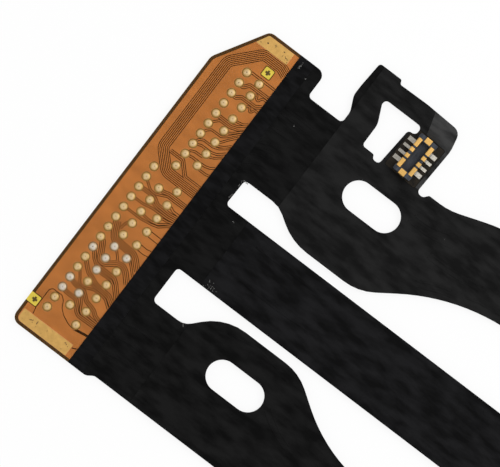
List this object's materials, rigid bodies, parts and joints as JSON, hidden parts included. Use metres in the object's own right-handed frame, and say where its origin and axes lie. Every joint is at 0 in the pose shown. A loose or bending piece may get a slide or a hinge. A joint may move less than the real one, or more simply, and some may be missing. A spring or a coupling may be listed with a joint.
{
  "type": "flat flex cable",
  "caption": "Flat flexible printed cable with an amber bond end with probe pads, a side tab with a small board plug, and flat tails with two obround slots.",
  "frame": {"origin": "middle of the bond edge, on the underside of the base film", "axes": "+X along the tails, away from the bond edge; +Y up the bond edge, towards the side tab; +Z out of the side that carries the pads and the plug"},
  "size_m": [0.027, 0.0203, 0.0009],
  "materials": {
    "amber_film": "satin polyimide",
    "black_film": "matt black cover film",
    "copper": "rolled copper foil",
    "amber_coverlay": "clear amber cover film",
    "gold_plate": "soft gold plating",
    "clear_film": "bare yellow polyimide",
    "dark_copper": "dark copper mark",
    "pad_gold": "pale plated pad",
    "pad_tin": "bright tinned pad",
    "navy_film": "matt blue black film",
    "shield_film": "matt shield film",
    "shield_film_cool": "matt cool black shield film",
    "grey_film": "dull dark grey film",
    "brown_mask": "dark brown solder mask",
    "stiffener_steel": "thin rolled steel",
    "plug_plastic": "moulded dark plastic",
    "solder": "bright solder",
    "stiffener_film": "thick polyimide"
  },
  "bodies": {
    "root": {"base_film": "amber_film", "back_film": "black_film", "bond_copper": "copper", "bond_traces": "copper", "bond_coverlay": "amber_coverlay", "bond_contacts": "gold_plate", "ground_land_upper": "gold_plate", "ground_land_lower": "gold_plate", "fiducial_windows": "clear_film", "fiducial_crosses": "dark_copper", "probe_pads": "pad_gold", "probe_pads_bright": "pad_tin", "black_coverlay": "black_film", "neck_band": "navy_film", "shield_upper": "shield_film", "shield_middle": "shield_film_cool", "shield_lower": "shield_film", "tab_cover": "grey_film", "tab_solder_mask": "brown_mask", "tab_stiffener": "stiffener_steel", "plug_housing": "plug_plastic", "plug_signal_contacts": "gold_plate", "plug_power_contacts": "gold_plate", "plug_nails": "gold_plate", "plug_solder": "solder", "end_contacts_upper": "gold_plate", "end_contacts_middle": "gold_plate", "end_contacts_lower": "gold_plate", "end_stiffener_upper": "stiffener_film", "end_stiffener_middle": "stiffener_film", "end_stiffener_lower": "stiffener_film"}
  },
  "joints": []
}
